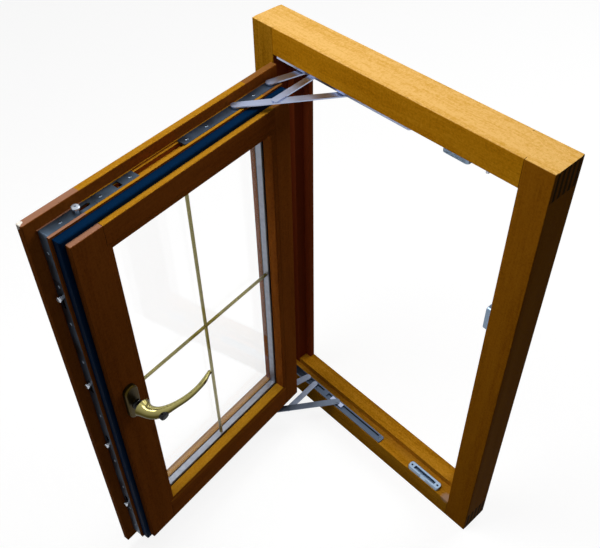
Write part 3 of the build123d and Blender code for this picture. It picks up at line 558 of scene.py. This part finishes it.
# Edge locking. Faceplates of zinc-plated steel lie flush in the groove of the sash edge, held by
# countersunk screws, and the round cams stand out of their slots.
# The screw's head in metres: its sink is what lies below the surface, and its recess is a cross.
SCREW_RADIUS = 0.0031
SCREW_SIDES = 20
SCREW_DOME = 0.0007
SCREW_SINK = 0.0008
# Of each step of the dome, how far it goes in as a share of the radius and up as a share of the dome.
DOME_STEPS = ((0.28, 0.8), (0.30, 0.2))
RECESS_ARM = 0.0019
RECESS_WIDTH = 0.0008
RECESS_DEPTH = 0.0006
# Each screw stopped at an angle of its own, this much further round than the last.
SCREW_TWIST = 0.7
# In millimetres, as sash_point takes them: the groove's middle, the plates' outer faces and the screws.
GROOVE_MIDDLE = 25.0
PLATE_SIDE = 19.0
PLATE_BOTTOM = 19.0
PLATE_TOP = 845.0
CLOSING_EDGE_SCREWS = (54.0, 120.0, 200.0, 290.0, 430.0, 574.0, 664.0, 744.0, 810.0)
PLATE_SCREWS = (50.0, 122.0, 178.0)

# Rolled and plated steel that has dulled reads dark blue-grey in the groove.
finish(plain("dulled zinc plated steel faceplate", "#4C5B6B", roughness=0.36, metallic=1.0),
       "top_corner_drive", "bottom_corner_drive", "top_extension_plate", "bottom_extension_plate")
# Down the closing edge the dulled plating lies in shade, and is painted darker still, nearly black, as
# that shade.
finish(plain("dulled zinc plated steel faceplate, painted darker in shade", "#303A46", roughness=0.4, metallic=1.0),
       "espag_faceplate")
# Cams are turned, and the plating on their round sides stays bright.
finish(plain("turned and zinc plated steel", "#BCC3CE", roughness=0.26, metallic=1.0),
       "stile_cams", "top_corner_cam", "bottom_corner_cam", "head_stud")


def edit_where(mesh, kind, wanted):
    """Opens the active mesh for editing with only its wanted faces or edges selected."""
    bpy.ops.object.mode_set(mode="EDIT")
    bpy.ops.mesh.select_all(action="DESELECT")
    bpy.ops.object.mode_set(mode="OBJECT")
    for element in mesh.polygons if kind == "FACE" else mesh.edges:
        element.select = wanted(element)
    bpy.ops.object.mode_set(mode="EDIT")
    bpy.ops.mesh.select_mode(type=kind)


# The screw's head: a short disc whose top is drawn up into a dome in two steps, with a cross recess.
deselect_all()
bpy.ops.mesh.primitive_cylinder_add(vertices=SCREW_SIDES, radius=SCREW_RADIUS, depth=SCREW_SINK)
screw_head = bpy.context.object
screw_head.data.transform(Matrix.Translation((0.0, 0.0, -SCREW_SINK / 2)))
edit_where(screw_head.data, "FACE", lambda face: face.normal.dot(UP) > SQUARE_ON)
for narrowing, rise in DOME_STEPS:
    bpy.ops.mesh.inset(thickness=SCREW_RADIUS * narrowing)
    bpy.ops.transform.translate(value=(0.0, 0.0, SCREW_DOME * rise))
bpy.ops.object.mode_set(mode="OBJECT")

# The recess's cutter: a small block whose four sides are drawn out into the arms of a cross.
deselect_all()
bpy.ops.mesh.primitive_cube_add(size=RECESS_WIDTH, location=(0.0, 0.0, 0.0))
cutter = bpy.context.object
cutter.data.transform(Matrix.Diagonal((1.0, 1.0, 2.0 * RECESS_DEPTH / RECESS_WIDTH, 1.0)))
drawn_out = RECESS_ARM - RECESS_WIDTH / 2
near = RECESS_WIDTH / 10
for way in (RIGHT, -RIGHT, INSIDE, -INSIDE):
    own_side = way * (RECESS_WIDTH / 2)
    edit_where(cutter.data, "FACE", lambda face: (face.center - own_side).length < near)
    bpy.ops.mesh.extrude_region_move(TRANSFORM_OT_translate={"value": way * drawn_out})
    bpy.ops.object.mode_set(mode="OBJECT")
cutter.data.transform(Matrix.Translation((0.0, 0.0, SCREW_DOME)))
cut = screw_head.modifiers.new("recess", "BOOLEAN")
cut.operation = "DIFFERENCE"
cut.solver = "EXACT"
cut.object = cutter
deselect_all()
bpy.context.view_layer.objects.active = screw_head
screw_head.select_set(True)
bpy.ops.object.modifier_apply(modifier=cut.name)
bpy.data.objects.remove(cutter)
screw_mesh = screw_head.data
bpy.data.objects.remove(screw_head)

# Dulled zinc on a pressed head gives small glints round a dark cross.
screw_zinc = plain("zinc plated screw", "#5C6672", roughness=0.32, metallic=1.0)


def set_screws(name, spots, facing, scale=1.0):
    """Copies of the screw's head at spots in metres, each with its own mesh, looking along facing."""
    turn = facing.to_track_quat("Z", "Y").to_matrix().to_4x4()
    for number, spot in enumerate(spots, start=1):
        mesh = screw_mesh.copy()
        twist = Matrix.Rotation(SCREW_TWIST * number, 4, "Z")
        mesh.transform(Matrix.Translation(spot) @ turn @ twist @ Matrix.Scale(scale, 4))
        mesh.materials.clear()
        mesh.materials.append(screw_zinc)
        screw = bpy.data.objects.new(f"{name}_{number}", mesh)
        scene.collection.objects.link(screw)
        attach(screw, "root")


set_screws("closing_edge_screw",
           [sash_point(PLATE_SIDE, height, GROOVE_MIDDLE) for height in CLOSING_EDGE_SCREWS], -ALONG)
for edge, height, facing in (("top", PLATE_TOP, UP), ("bottom", PLATE_BOTTOM, -UP)):
    set_screws(f"{edge}_edge_screw",
               [sash_point(side, height, GROOVE_MIDDLE) for side in PLATE_SCREWS], facing)

# Friction stays. Arms, sliders and sash bars are pressed from stainless strip and riveted together,
# and the channel tracks are rolled from the same strip and screwed down through their end caps.
HARDWARE_LINE = -0.0235
TRACK_SCREWS = (-0.2445, 0.0495)
CAP_HEIGHT = 0.0044
# In millimetres, as sash_point takes them.
BAR_BOTTOM = 18.5
BAR_TOP = 845.5
BAR_SCREWS = (296.0, 340.0, 452.0)
STAY_PARTS = ("track", "slider", "long_arm", "link_arm", "short_arm")

# Brushed stainless strip is a cool, even silver that lights up along its edges.
bright_strip = plain("brushed stainless steel strip", "#A8B2CC", roughness=0.34, metallic=1.0)
# The stay in the sill lies in shade, and its parts are painted darker for it: the long arm grey, the
# arms above it a dimmer silver, and the channel dark between its lips.
strip_in_painted_shade = plain("brushed stainless steel strip in painted shade", "#667080", roughness=0.38, metallic=1.0)
strip_in_painted_half_shade = plain("brushed stainless steel strip in painted half shade", "#929CB0", roughness=0.44, metallic=1.0)
channel_in_painted_shade = plain("rolled stainless steel channel in painted shade", "#4E5A6C", roughness=0.32, metallic=1.0)
# Old grease turns the bars on the sash a dark blue-grey.
greased_strip = plain("brushed stainless steel under old grease", "#4A586A", roughness=0.4, metallic=1.0)
for side, steels in (("top", (bright_strip,) * len(STAY_PARTS)),
                     ("bottom", (channel_in_painted_shade, bright_strip, strip_in_painted_shade, strip_in_painted_half_shade, strip_in_painted_half_shade))):
    for part, steel in zip(STAY_PARTS, steels):
        finish(steel, f"{side}_stay_{part}")
    finish(greased_strip, f"{side}_stay_sash_bar")
for side, level, facing in (("bottom", SILL_LEVEL + CAP_HEIGHT, UP),
                            ("top", HEAD_LEVEL - CAP_HEIGHT, -UP)):
    set_screws(f"{side}_track_screw",
               [(x, HARDWARE_LINE, level) for x in TRACK_SCREWS], facing)
for edge, height, facing in (("top", BAR_TOP, UP), ("bottom", BAR_BOTTOM, -UP)):
    set_screws(f"{edge}_bar_screw",
               [sash_point(side, height, GROOVE_MIDDLE) for side in BAR_SCREWS], facing)

# Keeps. Undercut blocks of die-cast zinc with a pale silver finish, screwed to head, sill and jamb
# through a deep hole at each end, in which the screw's head lies below the surface.
KEEP_HEAD = 0.0045
KEEP_SCREW_SCALE = 0.72
SILL_KEEP_SCREWS = (0.1475, 0.2185)
HEAD_KEEP_SCREWS = (0.1265, 0.1625)
JAMB_KEEP_SCREWS = (0.607, 0.643)
# The cast face is smooth and light, a little bluer than the stays.
finish(plain("die cast and silver finished zinc", "#7C8EA2", roughness=0.34, metallic=1.0),
       "sill_keep", "head_keep", "jamb_keep")
for keep, spots, facing in (
    ("sill_keep", [(x, HARDWARE_LINE, SILL_LEVEL + KEEP_HEAD) for x in SILL_KEEP_SCREWS], UP),
    ("head_keep", [(x, HARDWARE_LINE, HEAD_LEVEL - KEEP_HEAD) for x in HEAD_KEEP_SCREWS], -UP),
    ("jamb_keep", [(JAMB_SIDE - KEEP_HEAD, HARDWARE_LINE, z) for z in JAMB_KEEP_SCREWS], -RIGHT),
):
    set_screws(f"{keep}_screw", spots, facing, KEEP_SCREW_SCALE)

# Handle. A cast and polished brass base and lever, with a turned black collar between them and a
# black push lock set into the hub; hidden screws hold the base to the closing stile.
SLEEVE_RADIUS = 0.0092
SLEEVE_LENGTH = 0.0066
SLEEVE_RIM = 0.0009
SLEEVE_SIDES = 48
RIM_STEPS = 3
SMOOTH_ANGLE = math.radians(40.0)
SLEEVE_MIDDLE = sash_point(61.0, 465.0, 80.6)
# Old lacquer makes the polished brass olive; the lever's top is painted pale as reflected light from
# above, and its underside is painted dark as shade.
finish(plain("polished and lacquered cast brass", "#A39B62", roughness=0.19, metallic=1.0, bump=0.03,
             under="#433B12"),
       "handle_lever")
# The cast brass base behind it is a brown near black, far darker than the lever.
finish(plain("dark cast brass", "#3A2F0E", roughness=0.42, metallic=1.0), "handle_base")
# Moulded acetal is glossy and black, with one soft glint on each round edge.
handle_black = plain("gloss moulded black acetal", "#060708", roughness=0.2, bump=0.03, gloss=(1.48, 0.2))
finish(handle_black, "handle_collar", "handle_lock")

# A black sleeve covers most of the boss before the collar; it is turned, with a soft rim at each end.
deselect_all()
bpy.ops.mesh.primitive_cylinder_add(vertices=SLEEVE_SIDES, radius=SLEEVE_RADIUS, depth=SLEEVE_LENGTH)
sleeve = bpy.context.object
sleeve.name = "handle_sleeve"


def on_rim(edge):
    """Whether an edge of the sleeve runs round one of its ends."""
    first, second = [sleeve.data.vertices[index].co.z for index in edge.vertices]
    return abs(first - second) < SLEEVE_RIM


edit_where(sleeve.data, "EDGE", on_rim)
bpy.ops.mesh.bevel(offset=SLEEVE_RIM, segments=RIM_STEPS)
bpy.ops.object.mode_set(mode="OBJECT")
facing_in = INWARD.to_track_quat("Z", "Y").to_matrix().to_4x4()
sleeve.data.transform(Matrix.Translation(SLEEVE_MIDDLE) @ facing_in)
bpy.ops.object.shade_smooth_by_angle(angle=SMOOTH_ANGLE)
sleeve.data.materials.append(handle_black)
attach(sleeve, "root")
